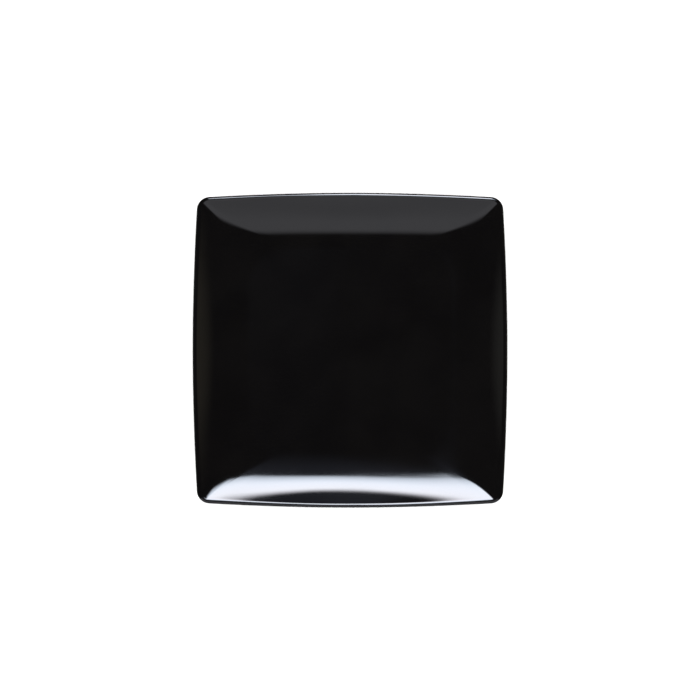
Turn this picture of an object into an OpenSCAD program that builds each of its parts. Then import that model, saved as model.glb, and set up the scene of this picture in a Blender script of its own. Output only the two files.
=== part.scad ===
// Square coupe plate in moulded melamine: a flat floor, a wall that curves up to
// bowed sides, a crowned rim that dips toward the corners and a low foot ring. Sizes
// are in millimetres. The plate stands on Z = 0, with its centre on the Z axis and
// its sides facing X and Y.

/* [Outline] */
// Overall width, between the middles of two opposite sides
plate_w = 203; // [190:1:260]
// How far the middle of each side stands out past the side's ends
side_bow = 2.9; // [0.5:0.1:6]
// Radius of the outline's corners
corner_r = 8.4; // [7:0.2:20]

/* [Dish] */
// Overall height, from the table to the crest of the rim in the middle of each side
plate_h = 19; // [14:0.5:26]
// Width of the flat floor, between the middles of two opposite sides
floor_w = 131; // [100:1:144]
// How far the middle of each side of the floor stands out past its ends
floor_bow = 1; // [0.2:0.1:3]
// Radius of the floor's corners
floor_corner_r = 32; // [16:1:40]
// Thickness of the floor, with its glaze
floor_t = 3.2; // [2.4:0.1:5]

/* [Rim] */
// How much lower the rim stands at the corners than in the middle of each side
corner_drop = 3; // [0:0.2:6]
// Radius that turns the wall over toward the rim's crest
lip_r = 3.2; // [1.2:0.1:4]
// Radius of the crest itself, which is tighter than the lip and the crown
crest_r = 0.5; // [0.4:0.1:1]
// Angle that the crest's own radius turns through on each side of its top
crest_turn = 16; // [8:1:18]
// Plan distance from the rim's crest to its outer edge
rim_w = 1.6; // [1.2:0.1:1.9]
// Radius of the crown between the crest and the outer edge
crown_r = 3.2; // [2.6:0.1:6]
// Radius of the rim's outer edge
edge_r = 0.5; // [0.3:0.1:0.8]
// Height of the upright band under the outer edge, down to the underside
band_h = 0.5; // [0.3:0.1:1.5]

/* [Foot ring] */
// Height of the foot ring, which is also the depth of the hollow inside it
foot_h = 2; // [1.6:0.1:4]
// Width of the foot ring's wall
foot_t = 3.6; // [3:0.1:6]
// Plan distance from the edge of the flat floor in to the foot ring
foot_inset = 1.8; // [1.6:0.1:6]
// Radius of the fillets where the foot ring meets the underside
foot_fillet_r = 1; // [0.4:0.1:1.2]
// Radius of the foot ring's edges at the table
foot_edge_r = 0.4; // [0.2:0.1:0.4]

/* [Glaze] */
// Thickness of the glaze pressed on the eating face and the rim
glaze_t = 0.25; // [0.15:0.05:0.3]

/* [Hidden] */

// Steps along half a side, round a corner, up the wall and round each small radius
side_steps = 5;
corner_steps = 8;
wall_steps = 10;
under_steps = 8;
round_steps = 3;
crest_steps = 2;

half_w = plate_w / 2;
half_floor = floor_w / 2;
floor_z = foot_h + floor_t;

// The wall's section is one arc, level at the floor. The lip's arc turns it back and
// the crest's own small arc turns it level, and each pair shares a slope where they
// meet. The crest's small arc saves some run and some height against the lip's arc.
crest_half = half_w - rim_w;
dish_depth = plate_h - floor_z;
lip_saving = lip_r - crest_r;
arcs_run = crest_half - half_floor + lip_saving * sin(crest_turn);
arcs_depth = dish_depth + lip_saving * (1 - cos(crest_turn));
wall_slope = 2 * atan(arcs_depth / arcs_run);
wall_r = arcs_run / sin(wall_slope) - lip_r;
lip_half = half_floor + wall_r * sin(wall_slope);

// On the outer side the crown's arc follows the crest's, and the edge's follows that.
crown_saving = crown_r - crest_r;
crown_slope = asin((rim_w - edge_r + crown_saving * sin(crest_turn)) / (crown_r - edge_r));
crown_top_z = plate_h + crown_saving * (1 - cos(crest_turn));
band_top_z = crown_top_z - crown_r + (crown_r - edge_r) * cos(crown_slope);

// The underside is a second arc, level at the floor's edge, that meets the band.
band_z = band_top_z - band_h;
under_run = half_w - half_floor;
under_slope = 2 * atan((band_z - foot_h) / under_run);
under_r = under_run / sin(under_slope);

foot_half = half_floor - foot_inset;
foot_inner_half = foot_half - foot_t;

// A side is a shallow arc. Its reach is the distance from the plate's centre to the
// centre of that arc, on the far side: a parallel outline keeps the same reach.
function reach(half, bow) = ((half - bow) ^ 2 + bow ^ 2) / (2 * bow) - half;

rim_reach = reach(half_w, side_bow);
floor_reach = reach(half_floor, floor_bow);

// A station is one outline of the loft: [half width, height, corner radius, reach,
// dip]. The dip is the share of the corners' drop that this outline takes part in.
// Beyond the wall's top, outlines run parallel to the plate's own outline.
function rim_station(half, z, fall = 0) = [
    half,
    z,
    corner_r - half_w + half,
    rim_reach,
    (1 - fall / dish_depth) ^ 2
];

// On the foot ring they run parallel to the floor's outline, and are level.
function foot_station(half, z) = [half, z, floor_corner_r - half_floor + half, floor_reach, 0];

// On the wall, the bow of the sides changes in step with the run. The corners tighten
// fastest near the floor and the dip grows fastest near the rim, each with a square.
function wall_station(half, z, climb, share, top) = [
    half,
    z,
    top[2] + (floor_corner_r - top[2]) * (1 - share) ^ 2,
    1 / ((1 - share) / floor_reach + share / top[3]),
    climb ^ 2
];

// The same station taken in below a face that leans at an angle, by a depth
function sunk(station, angle, depth) = [
    station[0] + depth * sin(angle),
    station[1] - depth * cos(angle),
    station[2] + depth * sin(angle),
    station[3],
    station[4]
];

// The eating face or, at a depth, the face of the body that the glaze is pressed on,
// from the floor's edge up the wall, over the crest and out to the edge of the rim
function face_stations(depth) = [
    for (i = [0:wall_steps])
        let (
            angle = wall_slope * i / wall_steps,
            half = half_floor + wall_r * sin(angle),
            rise = wall_r * (1 - cos(angle)),
            share = sin(angle) / sin(wall_slope),
            top = rim_station(lip_half, plate_h)
        )
        sunk(wall_station(half, floor_z + rise, rise / dish_depth, share, top), angle, depth),
    for (i = [1:round_steps])
        let (
            angle = wall_slope + (crest_turn - wall_slope) * i / round_steps,
            half = crest_half + lip_saving * sin(crest_turn) - lip_r * sin(angle),
            fall = lip_r * (1 - cos(angle)) - lip_saving * (1 - cos(crest_turn))
        )
        sunk(rim_station(half, plate_h - fall, fall), angle, depth),
    for (i = [crest_steps - 1:-1:-crest_steps])
        let (
            angle = crest_turn * i / crest_steps,
            fall = crest_r * (1 - cos(angle))
        )
        sunk(
            rim_station(crest_half - crest_r * sin(angle), plate_h - fall, i > 0 ? fall : 0),
            angle,
            depth
        ),
    for (i = [1:round_steps])
        let (
            angle = crest_turn + (crown_slope - crest_turn) * i / round_steps,
            half = crest_half - crown_saving * sin(crest_turn) + crown_r * sin(angle)
        )
        sunk(rim_station(half, crown_top_z - crown_r * (1 - cos(angle))), -angle, depth),
    for (i = [1:round_steps])
        let (angle = crown_slope + (90 - crown_slope) * i / round_steps)
        sunk(
            rim_station(half_w - edge_r * (1 - sin(angle)), band_top_z + edge_r * cos(angle)),
            -angle,
            depth
        )
];

// The underside, from the band in to the floor's edge
under_stations = [
    for (i = [under_steps:-1:0])
        let (
            angle = under_slope * i / under_steps,
            half = half_floor + under_r * sin(angle),
            rise = under_r * (1 - cos(angle)),
            share = sin(angle) / sin(under_slope)
        )
        wall_station(half, foot_h + rise, rise / (band_z - foot_h), share, rim_station(half_w, band_z))
];

// The foot ring, from its outer fillet round to the fillet inside it
foot_stations = [
    for (i = [0:round_steps])
        let (angle = 90 * i / round_steps)
        foot_station(
            foot_half + foot_fillet_r * (1 - sin(angle)),
            foot_h - foot_fillet_r * (1 - cos(angle))
        ),
    for (i = [0:round_steps])
        let (angle = 90 * i / round_steps)
        foot_station(foot_half - foot_edge_r * (1 - cos(angle)), foot_edge_r * (1 - sin(angle))),
    for (i = [0:round_steps])
        let (angle = 90 * i / round_steps)
        foot_station(foot_inner_half + foot_edge_r * (1 - sin(angle)), foot_edge_r * (1 - cos(angle))),
    for (i = [0:round_steps])
        let (angle = 90 * i / round_steps)
        foot_station(
            foot_inner_half - foot_fillet_r * (1 - cos(angle)),
            foot_h - foot_fillet_r * (1 - sin(angle))
        )
];

// A quarter of an outline, from the middle of the +X side to just before the middle
// of the +Y side: half a side, a corner that is tangent to both, and half a side
function quarter(half, r, reach) =
    let (
        side_r = reach + half,
        centre = (sqrt(2 * (side_r - r) ^ 2 - reach ^ 2) - reach) / 2,
        turn = atan2(centre, centre + reach)
    )
    [
        for (i = [0:side_steps - 1])
            let (angle = turn * i / side_steps)
            [side_r * cos(angle) - reach, side_r * sin(angle)],
        for (i = [0:corner_steps])
            let (angle = turn + (90 - 2 * turn) * i / corner_steps)
            [centre + r * cos(angle), centre + r * sin(angle)],
        for (i = [side_steps - 1:-1:1])
            let (angle = turn * i / side_steps)
            [side_r * sin(angle), side_r * cos(angle) - reach]
    ];

// The share of the drop at a point: none in the middle of a side and all of it at a
// corner, with level ground at both, like one wave to each side
function wave(p) = (2 * p[0] * p[1] / (p[0] ^ 2 + p[1] ^ 2)) ^ 2;

// A whole outline at its height: the quarter, turned to each side
function outline(station) =
    let (points = quarter(station[0], station[2], station[3]))
    [
        for (turn = [0:90:270])
            for (p = points)
                [
                    p[0] * cos(turn) - p[1] * sin(turn),
                    p[0] * sin(turn) + p[1] * cos(turn),
                    station[1] - corner_drop * station[4] * wave(p)
                ]
    ];

// A closed solid through the outlines in turn, capped flat at the first and the last.
// It starts on the upper side, goes outwards, and comes back underneath. A strip is
// split along the same diagonals whichever way it is run, so that two solids pressed
// together share one face.
module loft(stations) {
    outlines = [for (s = stations) outline(s)];
    count = len(outlines[0]);
    last = len(outlines) - 1;
    polyhedron(
        points = [for (o = outlines) each o],
        faces = [
            [for (i = [count - 1:-1:0]) i],
            for (k = [0:last - 1])
                for (i = [0:count - 1])
                    let (
                        a = k * count + i,
                        b = k * count + (i + 1) % count,
                        c = b + count,
                        d = a + count,
                        outwards = stations[k][0] < stations[k + 1][0]
                    )
                    each outwards ? [[a, b, c], [a, c, d]] : [[a, b, d], [b, c, d]],
            [for (i = [0:count - 1]) last * count + i]
        ]
    );
}

module plate_body() {
    color("#1a1a1c")
        loft([
            each face_stations(glaze_t),
            rim_station(half_w, band_top_z),
            each under_stations,
            each foot_stations
        ]);
}

module glaze_layer() {
    pressed = face_stations(glaze_t);
    color("#08080a")
        loft([
            each face_stations(0),
            for (i = [len(pressed) - 1:-1:0]) pressed[i]
        ]);
}

plate_body();
glaze_layer();
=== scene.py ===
# %% [markdown]
# # A square coupe plate in black melamine
#
# A coupe plate has no flat border: its walls curve straight up from the floor to the
# rim. This one is square. Its sides bow out a little, its floor is a smaller square,
# and soft valleys run from the floor's corners to the rim's corners, where the four
# walls meet. The rim stands highest in the middle of each side.
#
# The plate is one moulding, and a thin skin of gloss glaze is pressed on its eating
# face, so it is modelled as two pieces. Both are built here around the CAD model,
# which says how big they are and where they stand. Everything is in metres.

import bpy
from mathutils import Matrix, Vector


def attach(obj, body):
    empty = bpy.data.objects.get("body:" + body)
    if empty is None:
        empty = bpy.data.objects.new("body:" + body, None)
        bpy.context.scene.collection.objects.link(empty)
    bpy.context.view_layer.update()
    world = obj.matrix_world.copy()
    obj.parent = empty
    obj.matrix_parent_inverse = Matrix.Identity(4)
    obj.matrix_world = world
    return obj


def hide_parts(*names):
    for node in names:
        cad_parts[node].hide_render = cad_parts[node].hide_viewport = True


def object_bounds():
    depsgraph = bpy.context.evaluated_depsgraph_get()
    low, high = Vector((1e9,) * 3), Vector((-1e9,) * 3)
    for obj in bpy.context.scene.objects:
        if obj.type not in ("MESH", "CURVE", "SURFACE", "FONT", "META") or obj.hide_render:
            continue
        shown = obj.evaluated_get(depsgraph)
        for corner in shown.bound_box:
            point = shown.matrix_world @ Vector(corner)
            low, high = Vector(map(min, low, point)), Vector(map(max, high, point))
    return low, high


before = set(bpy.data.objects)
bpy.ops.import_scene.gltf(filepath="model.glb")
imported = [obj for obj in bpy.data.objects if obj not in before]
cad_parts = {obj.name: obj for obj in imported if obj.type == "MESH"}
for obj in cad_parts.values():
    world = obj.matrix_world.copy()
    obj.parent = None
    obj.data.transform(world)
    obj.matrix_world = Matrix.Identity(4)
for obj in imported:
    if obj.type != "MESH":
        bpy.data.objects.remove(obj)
cad_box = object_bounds()
print("CAD box:", [[round(v, 5) for v in corner] for corner in cad_box])

# %% [markdown]
# ## The plate's sizes
#
# The overall sizes come from the CAD model's box. The others are the plate's own, and
# are written once, here, in metres.

# %% Sizes
import math

import bmesh
import bpy

MM = 0.001
PLATE_W = cad_box[1][0] - cad_box[0][0]
PLATE_H = cad_box[1][2] - cad_box[0][2]
SIDE_BOW = 2.9 * MM
CORNER_R = 8.4 * MM
CORNER_DROP = 3 * MM

FLOOR_W = 131 * MM
FLOOR_BOW = 1 * MM
FLOOR_CORNER_R = 32 * MM
FLOOR_T = 3.2 * MM

LIP_R = 3.2 * MM
CREST_R = 0.5 * MM
CREST_TURN = math.radians(16)
RIM_W = 1.6 * MM
CROWN_R = 3.2 * MM
EDGE_R = 0.5 * MM
BAND_H = 0.5 * MM

FOOT_H = 2 * MM
FOOT_T = 3.6 * MM
FOOT_INSET = 1.8 * MM
FOOT_FILLET_R = 1 * MM
FOOT_EDGE_R = 0.4 * MM

GLAZE_T = 0.25 * MM
print(f"The plate is {PLATE_W / MM:.1f} mm wide and {PLATE_H / MM:.1f} mm high.")

# %% [markdown]
# ## The section
#
# Cut through the middle of a side, the wall is one arc that starts level at the floor.
# The lip is a second, much tighter arc that turns the wall over, the crest is a small
# one of its own, and the crown falls away from it to a small round edge. Each arc
# shares a slope with the next. In the photograph a bright line and a grey band meet at
# the crest with hardly a dark gap between them, which is why the crest is so tight.
# These few numbers place all the arcs.

# %% Work out the arcs of the section
half_w = PLATE_W / 2
half_floor = FLOOR_W / 2
floor_z = FOOT_H + FLOOR_T
crest_half = half_w - RIM_W
dish_depth = PLATE_H - floor_z
crest_sin, crest_rise = math.sin(CREST_TURN), 1 - math.cos(CREST_TURN)
lip_saving = LIP_R - CREST_R
arcs_run = crest_half - half_floor + lip_saving * crest_sin
wall_slope = 2 * math.atan((dish_depth + lip_saving * crest_rise) / arcs_run)
wall_r = arcs_run / math.sin(wall_slope) - LIP_R
lip_half = half_floor + wall_r * math.sin(wall_slope)

crown_saving = CROWN_R - CREST_R
crown_slope = math.asin((RIM_W - EDGE_R + crown_saving * crest_sin) / (CROWN_R - EDGE_R))
crown_top_z = PLATE_H + crown_saving * crest_rise
band_top_z = crown_top_z - CROWN_R + (CROWN_R - EDGE_R) * math.cos(crown_slope)
band_z = band_top_z - BAND_H
under_run = half_w - half_floor
under_slope = 2 * math.atan((band_z - FOOT_H) / under_run)
under_r = under_run / math.sin(under_slope)
foot_half = half_floor - FOOT_INSET
print(f"The wall's arc has a radius of {wall_r / MM:.1f} mm.")
print(f"It climbs to {math.degrees(wall_slope):.1f} degrees.")

# %% [markdown]
# ## Outlines
#
# Seen from above, each level of the plate is a square with bowed sides and round
# corners: eight arcs, each tangent to the next. The floor's corners are wide and nearly
# straight sided, and the rim's are tight and bowed, so one outline can't be scaled into
# another. Each level is written down as a ring: its half width, its height, its corner
# radius, its reach, which is the distance from the plate's centre to the centre of a
# side's arc, and its drop, the share of the corners' drop that it takes part in. Up the
# wall the corners tighten fastest near the floor and the drop grows fastest near the
# rim, which gives the soft valleys that the curved ends of the highlights show.

# %% Rings for every level
from collections import namedtuple

Ring = namedtuple("Ring", "half height radius reach drop")


def side_reach(half, bow):
    return ((half - bow) ** 2 + bow ** 2) / (2 * bow) - half


rim_reach = side_reach(half_w, SIDE_BOW)
floor_reach = side_reach(half_floor, FLOOR_BOW)


def rim_ring(half, height, fall=0.0):
    return Ring(half, height, CORNER_R - half_w + half, rim_reach, (1 - fall / dish_depth) ** 2)


def foot_ring(half, height):
    return Ring(half, height, FLOOR_CORNER_R - half_floor + half, floor_reach, 0.0)


def wall_ring(half, height, climb, share, top):
    radius = top.radius + (FLOOR_CORNER_R - top.radius) * (1 - share) ** 2
    reach = 1 / ((1 - share) / floor_reach + share / top.reach)
    return Ring(half, height, radius, reach, climb ** 2)


def sunk(ring, angle, depth):
    aside = depth * math.sin(angle)
    height = ring.height - depth * math.cos(angle)
    return Ring(ring.half + aside, height, ring.radius + aside, ring.reach, ring.drop)


def arc_steps(first, last, steps):
    return [first + (last - first) * i / steps for i in range(steps + 1)]


# %% The rings of the eating face
WALL_STEPS = 26
LIP_STEPS = 8
CREST_STEPS = 4
CROWN_STEPS = 6
EDGE_STEPS = 5


def face_rings(depth):
    rings = []
    for angle in arc_steps(0, wall_slope, WALL_STEPS):
        rise = wall_r * (1 - math.cos(angle))
        share = math.sin(angle) / math.sin(wall_slope)
        half = half_floor + wall_r * math.sin(angle)
        ring = wall_ring(half, floor_z + rise, rise / dish_depth, share, rim_ring(lip_half, 0))
        rings.append(sunk(ring, angle, depth))
    for angle in arc_steps(wall_slope, CREST_TURN, LIP_STEPS)[1:]:
        fall = LIP_R * (1 - math.cos(angle)) - lip_saving * crest_rise
        half = crest_half + lip_saving * crest_sin - LIP_R * math.sin(angle)
        rings.append(sunk(rim_ring(half, PLATE_H - fall, fall), angle, depth))
    for angle in arc_steps(CREST_TURN, -CREST_TURN, 2 * CREST_STEPS)[1:]:
        fall = CREST_R * (1 - math.cos(angle))
        ring = rim_ring(crest_half - CREST_R * math.sin(angle), PLATE_H - fall, fall if angle > 0 else 0)
        rings.append(sunk(ring, angle, depth))
    for angle in arc_steps(CREST_TURN, crown_slope, CROWN_STEPS)[1:]:
        half = crest_half - crown_saving * crest_sin + CROWN_R * math.sin(angle)
        rings.append(sunk(rim_ring(half, crown_top_z - CROWN_R * (1 - math.cos(angle))), -angle, depth))
    for angle in arc_steps(crown_slope, math.pi / 2, EDGE_STEPS)[1:]:
        ring = rim_ring(half_w - EDGE_R * (1 - math.sin(angle)), band_top_z + EDGE_R * math.cos(angle))
        rings.append(sunk(ring, -angle, depth))
    return rings


print(f"The eating face has {len(face_rings(0))} rings.")

# %% [markdown]
# ## Drawing a ring by spinning one vertex
#
# A ring could be a curve or a list of coordinates. Spinning is closer to drawing it by
# hand: a vertex is put down in the middle of the +X side and spun round the side's far
# centre, then round the corner's centre, then round the next side's far centre. That
# is a quarter of the outline, and two mirrors make the rest. Each ring gets its number
# in a layer of the mesh, so that the bridge tool can be pointed at two rings at a time.

# %% Draw and bridge the rings
SIDE_STEPS = 10
CORNER_STEPS = 12


def select_rings(mesh, numbers):
    bm = bmesh.from_edit_mesh(mesh)
    layer = bm.verts.layers.int["ring"]
    for vert in bm.verts:
        vert.select = vert[layer] in numbers
    bm.select_flush_mode()
    bmesh.update_edit_mesh(mesh)


def number_new_vertices(mesh, number):
    bm = bmesh.from_edit_mesh(mesh)
    layer = bm.verts.layers.int["ring"]
    for vert in bm.verts:
        if vert[layer] == 0:
            vert[layer] = number
    bmesh.update_edit_mesh(mesh)


def draw_ring(ring):
    side_r = ring.reach + ring.half
    centre = (math.sqrt(2 * (side_r - ring.radius) ** 2 - ring.reach ** 2) - ring.reach) / 2
    turn = math.atan2(centre, centre + ring.reach)
    bpy.ops.mesh.select_all(action="DESELECT")
    bpy.ops.mesh.primitive_plane_add(size=ring.radius, location=(ring.half, 0, ring.height))
    bpy.ops.mesh.merge(type="CENTER")
    arcs = (
        (SIDE_STEPS, turn, (-ring.reach, 0, ring.height)),
        (CORNER_STEPS, math.pi / 2 - 2 * turn, (centre, centre, ring.height)),
        (SIDE_STEPS, turn, (0, -ring.reach, ring.height)),
    )
    for steps, angle, middle in arcs:
        bpy.ops.mesh.spin(steps=steps, angle=angle, center=middle, axis=(0, 0, -1))


def loft_quarter(name, rings):
    bpy.ops.object.select_all(action="DESELECT")
    bpy.ops.mesh.primitive_plane_add(size=PLATE_W)
    piece = bpy.context.object
    piece.name = piece.data.name = name
    piece.data.attributes.new("ring", "INT", "POINT")
    bpy.ops.object.mode_set(mode="EDIT")
    bpy.ops.mesh.select_mode(type="VERT")
    bpy.ops.mesh.select_all(action="SELECT")
    bpy.ops.mesh.delete(type="VERT")
    for number, ring in enumerate(rings, 1):
        draw_ring(ring)
        number_new_vertices(piece.data, number)
        if number > 1:
            select_rings(piece.data, (number - 1, number))
            bpy.ops.mesh.bridge_edge_loops()
    bpy.ops.object.mode_set(mode="OBJECT")
    return piece

# %% [markdown]
# ## From a quarter to a whole
#
# Two mirrors close the square, and their merge distance welds the seams. The flat
# middle is a plain face, filled in from the innermost ring. That ring lies a little
# inside the floor's edge, so that smooth shading starts on the wall and leaves the
# floor truly flat. Mirroring turns half of the faces inside out, so the normals are
# worked out again, and an open sheet is turned over if its floor faces down.

# %% Mirror, fill and turn outwards
FLAT_MARGIN = 1 * MM
WELD = 0.001 * MM


def apply_modifier(piece, kind, **settings):
    modifier = piece.modifiers.new(kind.title(), kind)
    for setting, value in settings.items():
        setattr(modifier, setting, value)
    bpy.ops.object.modifier_apply(modifier=modifier.name)


def close_round(piece, flat_rings):
    apply_modifier(piece, "MIRROR", use_axis=(True, True, False), merge_threshold=WELD)
    bpy.ops.object.mode_set(mode="EDIT")
    for number in flat_rings:
        select_rings(piece.data, (number,))
        bpy.ops.mesh.edge_face_add()
    bpy.ops.mesh.select_all(action="SELECT")
    bpy.ops.mesh.remove_doubles(threshold=WELD)
    bpy.ops.mesh.normals_make_consistent(inside=False)
    bm = bmesh.from_edit_mesh(piece.data)
    above_foot = [face for face in bm.faces if face.calc_center_median().z > FOOT_H + MM]
    floor = max(above_foot, key=lambda face: face.calc_area())
    if floor.normal.z < 0:
        bpy.ops.mesh.flip_normals()
    bpy.ops.object.mode_set(mode="OBJECT")


# %% [markdown]
# ## The dip toward the corners
#
# The rim stands 3 mm lower at the corners than in the middle of each side. The rings
# are level so far, so a Displace modifier lowers them. Its vertex group says how much:
# nothing on the floor and the foot, and more with the climb up the wall, times a wave
# that is level in the middle of each side and again at the corner, because a crease at
# either would show in the gloss.

# %% Lower the rim toward its corners
def wave(x, y):
    return (2 * x * y / (x * x + y * y)) ** 2


def dip_corners(piece, rings):
    numbers = [entry.value for entry in piece.data.attributes["ring"].data]
    group = piece.vertex_groups.new(name="dip")
    for vert, number in zip(piece.data.vertices, numbers):
        group.add([vert.index], rings[number - 1].drop * wave(vert.co.x, vert.co.y), "REPLACE")
    apply_modifier(
        piece, "DISPLACE", direction="Z", mid_level=0, strength=-CORNER_DROP, vertex_group="dip"
    )


# %% [markdown]
# ## The gloss glaze
#
# On the real plate this is a quarter of a millimetre of clear and black resin. It
# covers the eating face, runs over the crest and ends on the outer edge, at the line
# where the mould's halves met. The face is lofted as an open sheet, and a Solidify
# modifier gives it its thickness, inwards, so the outside stays where the CAD has it.

# %% Build the glaze
SMOOTH_BELOW = math.radians(38)


def flat_ring(height):
    return foot_ring(half_floor - FLAT_MARGIN, height)


def finish_piece(piece, node):
    bpy.ops.object.shade_smooth_by_angle(angle=SMOOTH_BELOW)
    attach(piece, "root")
    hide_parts(node)
    triangles = sum(len(face.vertices) - 2 for face in piece.data.polygons)
    print(piece.name, "has", triangles, "triangles.")
    for axis, name in enumerate("xyz"):
        places = [vert.co[axis] / MM for vert in piece.data.vertices]
        print(f"It spans {min(places):.2f} to {max(places):.2f} mm along {name}.")


glaze_rings = [flat_ring(floor_z)] + face_rings(0)
glaze = loft_quarter("gloss_glaze", glaze_rings)
close_round(glaze, (1,))
dip_corners(glaze, glaze_rings)
apply_modifier(glaze, "SOLIDIFY", thickness=GLAZE_T, offset=-1, use_even_offset=True)
finish_piece(glaze, "glaze_layer")

# %% [markdown]
# ## The moulded body
#
# The body is one closed loft: it starts on the face that the glaze is pressed on, goes
# out to the rim, down the narrow band under the glaze, back in along the underside,
# round the foot ring and into the shallow hollow inside it. The band is set in by the
# width of a hair, which leaves the fine step that shows where the glaze ends.

# %% Rings of the underside and the foot
PARTING_STEP = 0.04 * MM
UNDER_STEPS = 20
FOOT_STEPS = 6


def under_rings():
    rings = []
    top = rim_ring(half_w - PARTING_STEP, 0)
    run_r = under_r * (1 - PARTING_STEP / under_run)
    for angle in arc_steps(under_slope, 0, UNDER_STEPS):
        rise = under_r * (1 - math.cos(angle))
        share = math.sin(angle) / math.sin(under_slope)
        half = half_floor + run_r * math.sin(angle)
        rings.append(wall_ring(half, FOOT_H + rise, rise / (band_z - FOOT_H), share, top))
    return rings


def foot_rings():
    inner_half = foot_half - FOOT_T
    quarter = [(math.sin(a), math.cos(a)) for a in arc_steps(0, math.pi / 2, FOOT_STEPS)]
    rings = [
        foot_ring(foot_half + FOOT_FILLET_R * (1 - s), FOOT_H - FOOT_FILLET_R * (1 - c)) for s, c in quarter
    ]
    rings += [foot_ring(foot_half - FOOT_EDGE_R * (1 - c), FOOT_EDGE_R * (1 - s)) for s, c in quarter]
    rings += [foot_ring(inner_half + FOOT_EDGE_R * (1 - s), FOOT_EDGE_R * (1 - c)) for s, c in quarter]
    rings += [
        foot_ring(inner_half - FOOT_FILLET_R * (1 - c), FOOT_H - FOOT_FILLET_R * (1 - s)) for s, c in quarter
    ]
    return rings + [foot_ring(inner_half - FOOT_FILLET_R - FLAT_MARGIN, FOOT_H)]


# %% Build the body
body_rings = [flat_ring(floor_z - GLAZE_T)] + face_rings(GLAZE_T)
body_rings.append(rim_ring(half_w - PARTING_STEP, band_top_z))
band_foot = len(body_rings) + 1
body_rings += under_rings() + foot_rings()
body = loft_quarter("moulded_body", body_rings)
close_round(body, (1, len(body_rings)))
dip_corners(body, body_rings)

# %% [markdown]
# The band meets the underside in a sharp corner. A mould never leaves one, and a small
# bevel there catches the light along the whole rim.

# %% Round the corner under the band
BAND_BEVEL = 0.15 * MM
BEVEL_STEPS = 3
bpy.ops.object.mode_set(mode="EDIT")
select_rings(body.data, (band_foot,))
bpy.ops.mesh.bevel(offset=BAND_BEVEL, segments=BEVEL_STEPS, affect="EDGES")
bpy.ops.object.mode_set(mode="OBJECT")
finish_piece(body, "plate_body")

# %% [markdown]
# ## Shader maths
#
# A finish is worked out from patterns, and the sums between them are easier to read as
# sums than as chains of nodes. This small class holds a socket, and adds a Math node
# for each operator. Its node method makes any node from its type, its settings and what
# goes into its sockets. The last three are short names for the nodes used most: a soft
# step between two values, a mix of two colours and a cloudy noise.

# %% A socket that can be added and multiplied
class Wire:
    def __init__(self, tree, socket=None):
        self.tree = tree
        self.socket = socket

    def node(self, kind, settings=None, inputs=None, output=0):
        made = self.tree.nodes.new(kind)
        for setting, value in (settings or {}).items():
            setattr(made, setting, value)
        for name, value in (inputs or {}).items():
            if isinstance(value, Wire):
                self.tree.links.new(value.socket, made.inputs[name])
            else:
                made.inputs[name].default_value = value
        return Wire(self.tree, made.outputs[output])

    def math(self, operation, first, second=0.0):
        return self.node("ShaderNodeMath", {"operation": operation}, {0: first, 1: second})

    def __add__(self, other):
        return self.math("ADD", self, other)

    def __sub__(self, other):
        return self.math("SUBTRACT", self, other)

    def __rsub__(self, other):
        return self.math("SUBTRACT", other, self)

    def __mul__(self, other):
        return self.math("MULTIPLY", self, other)

    __radd__ = __add__
    __rmul__ = __mul__

    def ease(self, low, high, start=0.0, end=1.0):
        sockets = {"Value": self, "From Min": low, "From Max": high, "To Min": start, "To Max": end}
        return self.node("ShaderNodeMapRange", {"interpolation_type": "SMOOTHSTEP"}, sockets)

    def mix(self, first, second):
        return self.node("ShaderNodeMix", {"data_type": "RGBA"}, {0: self, 6: first, 7: second}, output=2)

    def noise(self, scale, detail, roughness=0.5):
        sockets = {"Vector": self, "Scale": scale, "Detail": detail, "Roughness": roughness}
        return self.node("ShaderNodeTexNoise", inputs=sockets)


def new_material(name, **constants):
    material = bpy.data.materials.new(name)
    material.use_nodes = True
    tree = material.node_tree
    shader = next(node for node in tree.nodes if node.type == "BSDF_PRINCIPLED")
    for socket, value in constants.items():
        shader.inputs[socket.replace("_", " ")].default_value = value
    place = Wire(tree).node("ShaderNodeTexCoord", output="Object")
    return material, shader, place


def feed(shader, **wires):
    for socket, wire in wires.items():
        wire.tree.links.new(wire.socket, shader.inputs[socket.replace("_", " ")])


def grey(value, warmth=0.0):
    return (value * (1 + warmth), value, value * (1 - warmth), 1.0)


# Most of a noise's values lie in this range.
NOISE_SPAN = (0.3, 0.7)

# %% [markdown]
# ## The gloss finish
#
# Black melamine glaze is nearly black all through, and its look is its gloss. Three
# things keep it from looking like computer plastic: the black is very slightly uneven,
# the gloss is a little duller where hands and cloths have been, with hair-fine wiping
# marks, and the surface waves by a few hundredths of a millimetre, as pressed resin
# does when it shrinks in the mould.

# %% Gloss black glaze
SHRINK_DEPTH = 0.02 * MM
WIPED_ALONG = (0.0, 0.0, 0.6)
WIPED_FINENESS = (60.0, 1400.0, 60.0)
gloss, gloss_shader, place = new_material("gloss_black_glaze", IOR=1.5, Coat_Weight=0.0)
blotch = place.noise(34.0, 3.0)
smudge = place.noise(19.0, 5.0, 0.6)
stretch = {"Vector": place, "Rotation": WIPED_ALONG, "Scale": WIPED_FINENESS}
marks = place.node("ShaderNodeMapping", inputs=stretch).noise(1.0, 4.0)
ripple = place.noise(42.0, 1.5)
shrink = place.node("ShaderNodeBump", inputs={"Strength": 1.0, "Distance": SHRINK_DEPTH, "Height": ripple})
feed(
    gloss_shader,
    Base_Color=blotch.ease(*NOISE_SPAN).mix(grey(0.0004), grey(0.0008, 0.06)),
    Roughness=smudge.ease(0.35, 0.7, 0.07, 0.10) + marks.ease(0.55, 0.8, 0.0, 0.03),
    Normal=shrink,
)
glaze.data.materials.append(gloss)

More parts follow.
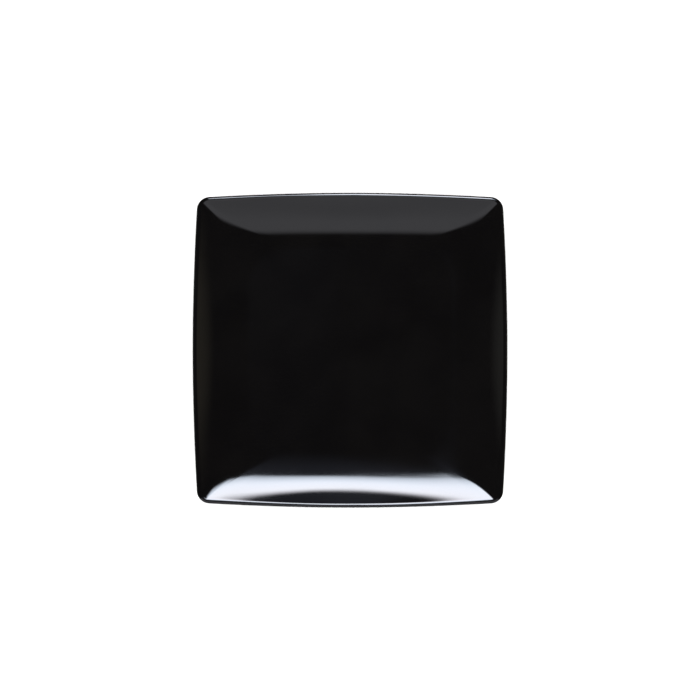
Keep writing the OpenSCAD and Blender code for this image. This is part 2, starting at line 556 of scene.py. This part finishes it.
# %% [markdown]
# ## The satin finish
#
# The underside isn't glazed. It is the bare moulding: the same black, but satin, with
# the fine grain of the mould. The foot ring is scuffed where it slides on the table,
# so near the table the black turns greyer and duller in broken patches. Nothing is
# marked inside the ring.

# %% Satin black moulding
GRAIN_DEPTH = 0.004 * MM
SCUFF_FULL = 0.1 * MM
SCUFF_GONE = 0.9 * MM
satin, satin_shader, place = new_material("satin_black_moulding", IOR=1.5, Coat_Weight=0.0)
above_table = place.node("ShaderNodeSeparateXYZ", inputs={"Vector": place}, output="Z")
cloud = place.noise(55.0, 4.0)
patches = place.noise(420.0, 6.0)
scuffed = (1 - above_table.ease(SCUFF_FULL, SCUFF_GONE)) * patches.ease(0.38, 0.62)
grain = place.noise(1700.0, 2.0)
pressed = place.node("ShaderNodeBump", inputs={"Strength": 1.0, "Distance": GRAIN_DEPTH, "Height": grain})
black = cloud.ease(*NOISE_SPAN).mix(grey(0.0045), grey(0.0075, 0.03))
feed(
    satin_shader,
    Base_Color=scuffed.mix(black, grey(0.045)),
    Roughness=cloud.ease(*NOISE_SPAN, 0.36, 0.46) + scuffed * 0.2,
    Normal=pressed,
)
body.data.materials.append(satin)
print("Finishes:", gloss.name, "and", satin.name)

# %% [markdown]
# ## The table
#
# The photograph's ground is plain and white. A wide sheet stands for it, a little
# below the foot so that the two faces don't share a plane. It isn't part of the plate.

# %% White ground
GROUND_W = 8.0
GROUND_GAP = 0.05 * MM
bpy.ops.object.select_all(action="DESELECT")
bpy.ops.mesh.primitive_plane_add(size=GROUND_W, location=(0, 0, -GROUND_GAP))
ground = bpy.context.object
ground.name = "ground"
bpy.ops.object.transform_apply(location=True, rotation=False, scale=False)
paper, paper_shader, place = new_material("white_ground", Roughness=0.8, Specular_IOR_Level=0.0)
feed(paper_shader, Base_Color=place.noise(3.0, 3.0).ease(*NOISE_SPAN).mix(grey(0.80), grey(0.82)))
ground.data.materials.append(paper)

# %% [markdown]
# ## What the gloss reflects
#
# A black gloss plate shows the room more than itself. Seen from above, a wall that
# leans by an angle mirrors what stands at twice that angle from overhead. So the near
# wall shows a soft box that stands beyond the plate, the far wall a pale board on the
# other side, and the flat floor the dark above the camera.
#
# Both are upright sheets here. The front cloth of a soft box is never evenly bright and
# has no sharp edge, so the light on a sheet fades out toward its edges, and the rest of
# the sheet is clear. The ground and the camera don't see them.

# %% Hang a sheet that glows
def hang_sheet(name, side, width, height):
    bpy.ops.object.select_all(action="DESELECT")
    bpy.ops.mesh.primitive_plane_add(size=1, location=(0, side, height / 2), rotation=(math.pi / 2, 0, 0))
    bpy.ops.transform.resize(value=(width, 1, height))
    sheet = bpy.context.object
    sheet.name = name
    bpy.ops.object.transform_apply(location=True, rotation=True, scale=True)
    sheet.visible_camera = sheet.visible_diffuse = sheet.visible_shadow = False
    material = bpy.data.materials.new(name)
    material.use_nodes = True
    place = Wire(material.node_tree).node("ShaderNodeTexCoord", output="Object")
    x, z = [place.node("ShaderNodeSeparateXYZ", inputs={"Vector": place}, output=axis) for axis in "XZ"]
    sheet.data.materials.append(material)
    return material, x, z


def light_sheet(material, level, colour, strength):
    clear = level.node("ShaderNodeBsdfTransparent")
    lit = level.node("ShaderNodeEmission", inputs={"Color": colour, "Strength": strength})
    shown = level.node("ShaderNodeMixShader", inputs={0: level, 1: clear, 2: lit})
    output = material.node_tree.nodes["Material Output"]
    material.node_tree.links.new(shown.socket, output.inputs["Surface"])
    print(material.name, "glows at", strength)


# %% [markdown]
# The soft box stands five metres off. From nearer by, the corner and the wall beside it
# would mirror parts of the box too far apart, and a dark seam would cross the highlight.
# The near wall is gentlest at the floor, where it mirrors what is nearest to overhead.
# So the box's upper edge draws the side of the highlight that faces the floor, and its
# slanting lower edge draws the dark lens beside the rim. The straight part of the wall
# mirrors only a strip in the middle of the box, and the corners mirror the rest. To the
# right of that strip the upper edge steps up and climbs, and its fade grows wider.
#
# A ramp is written as two places, in metres, and the values there if they aren't 0 and
# 1. The places are those that the edges of the mirror images ask for.

# %% The soft box's edges
BOX_AWAY = 5.0
BOX_W = 12.0
BOX_H = 13.0
UPPER_FALL = (-0.31, 0.31, 7.6, 6.88)
UPPER_STEP = (0.28, 0.33, 0.0, 1.42)
UPPER_CLIMB = (0.28, 1.75, 0.0, 1.97)
UPPER_SPREAD = (0.28, 1.88, 1.0, 0.33)
UPPER_FADE = (-0.31, 0.81)
LOWER_SLANT = 1.18
LOWER_FADE = (2.48, 3.59)
LEFT_FADE = (-1.46, -0.52)
RIGHT_LEAN = 0.59
RIGHT_FADE = (-0.98, -1.82)

box, x, z = hang_sheet("soft_box", BOX_AWAY, BOX_W, BOX_H)
upper_edge = x.ease(*UPPER_FALL) + x.ease(*UPPER_STEP) + x.ease(*UPPER_CLIMB)
below_edge = (upper_edge - z) * x.ease(*UPPER_SPREAD)
fades = below_edge.ease(*UPPER_FADE) * (z + x * LOWER_SLANT).ease(*LOWER_FADE)
fades = fades * x.ease(*LEFT_FADE) * (x - z * RIGHT_LEAN).ease(*RIGHT_FADE)

# %% The soft box's light
BOX_STRENGTH = 22.3
CLOTH_RAMP = (0.0, 5.0)
CLOTH_ABOVE = (0.895, 1.0, 1.155, 1.0)
CLOTH_BELOW = (1.0, 1.0, 1.075, 1.0)
BRIGHTER_BELOW = (-0.94, 2.78, 0.2, 1.0)
cloth = below_edge.ease(*CLOTH_RAMP).mix(CLOTH_ABOVE, CLOTH_BELOW)
light_sheet(box, fades * below_edge.ease(*BRIGHTER_BELOW), cloth, BOX_STRENGTH)

# %% Pale board
BOARD_AWAY = -1.6
BOARD_W = 4.4
BOARD_H = 5.0
BOARD_STRENGTH = 1.04
BOARD_PAINT = (1.0, 1.0, 1.07, 1.0)
BOARD_TOP = (4.75, 3.0)
BOARD_FOOT = (0.85, 2.2, 0.8, 1.0)
BOARD_LEFT = (-1.95, -1.6)
BOARD_RIGHT = (1.65, 1.3)

board, x, z = hang_sheet("pale_board", BOARD_AWAY, BOARD_W, BOARD_H)
painted = z.ease(*BOARD_TOP) * z.ease(*BOARD_FOOT) * x.ease(*BOARD_LEFT) * x.ease(*BOARD_RIGHT)
light_sheet(board, painted, BOARD_PAINT, BOARD_STRENGTH)

# %% [markdown]
# The rest of the room is the world. What the gloss mirrors is dark overhead, with a
# faint cool glow just left of the soft box's middle and fainter ones low down at the
# sides. What lights the ground is even and so bright that it turns out white with
# hardly a shadow, as in the photograph. A Light Path node tells the two apart. The glow
# at the right-hand side is the warmer one, because the left wall, which mirrors it, is
# warm in the photograph. East and north are how far a direction points along X and Y.

# %% The room
DARK_OVERHEAD = (0.068, 0.060, 0.064, 1.0)
COOL_GLOW = (0.28, 0.30, 0.39, 1.0)
WARM_GLOW = (0.275, 0.245, 0.2, 1.0)
FAINT_GLOW = (0.24, 0.235, 0.225, 1.0)
WHITE_ROOM = (1.0, 1.0, 1.0, 1.0)
WHITE_STRENGTH = 2.3
TOWARD_BOX = (-0.1, 0.62)
LEFT_OF_BOX = (-0.16, 0.0)
MIDDLE_LEAN = 0.06
LEFT_OF_MIDDLE = (0.0, -0.014)
LOW_RIGHT = (0.76, 1.0)
LOW_LEFT = (-0.83, -1.0)

world = bpy.data.worlds.new("studio")
bpy.context.scene.world = world
world.use_nodes = True
sky = Wire(world.node_tree)
direction = sky.node("ShaderNodeTexCoord", output="Generated")
east, north = [
    sky.node("ShaderNodeSeparateXYZ", inputs={"Vector": direction}, output=axis) for axis in "XY"
]
near_box = north.ease(*TOWARD_BOX) * east.ease(*LEFT_OF_BOX)
near_box = near_box * (east - north * MIDDLE_LEAN).ease(*LEFT_OF_MIDDLE)
mirrored = near_box.mix(DARK_OVERHEAD, COOL_GLOW)
mirrored = east.ease(*LOW_RIGHT).mix(mirrored, WARM_GLOW)
mirrored = east.ease(*LOW_LEFT).mix(mirrored, FAINT_GLOW)

white = sky.node("ShaderNodeBackground", inputs={"Color": WHITE_ROOM, "Strength": WHITE_STRENGTH})
dark = sky.node("ShaderNodeBackground", inputs={"Color": mirrored, "Strength": 1.0})
in_gloss = sky.node("ShaderNodeLightPath", output="Is Glossy Ray")
chosen = sky.node("ShaderNodeMixShader", inputs={0: in_gloss, 1: white, 2: dark})
world.node_tree.links.new(chosen.socket, world.node_tree.nodes["World Output"].inputs["Surface"])

# %% [markdown]
# ## The camera
#
# It looks straight down from one and a half metres. In the photograph 314 of the 700
# pixels span the plate, so the frame spans 452 mm at the height of the rim, and the
# plate stands a fraction of a pixel off the middle.

# %% Camera
SENSOR_W = 36
CLIP_END = 50
PHOTO_PX = 700
PLATE_PX = 314.3
OFF_CENTRE_PX = (0.06, -0.25)
CAMERA_H = 1.5
RIM_SEEN_H = 15 * MM
frame_w = PHOTO_PX * PLATE_W / PLATE_PX
lens = bpy.data.cameras.new("camera")
lens.sensor_width = SENSOR_W
lens.lens = SENSOR_W * (CAMERA_H - RIM_SEEN_H) / frame_w
lens.clip_end = CLIP_END
camera = bpy.data.objects.new("camera", lens)
bpy.context.collection.objects.link(camera)
aside = [-px * frame_w / PHOTO_PX for px in OFF_CENTRE_PX]
camera.location = (*aside, CAMERA_H)
scene = bpy.context.scene
scene.camera = camera
scene.view_settings.view_transform = "Standard"
scene.view_settings.look = "None"
print(f"Frame {frame_w / MM:.0f} mm wide, lens {lens.lens:.1f} mm.")
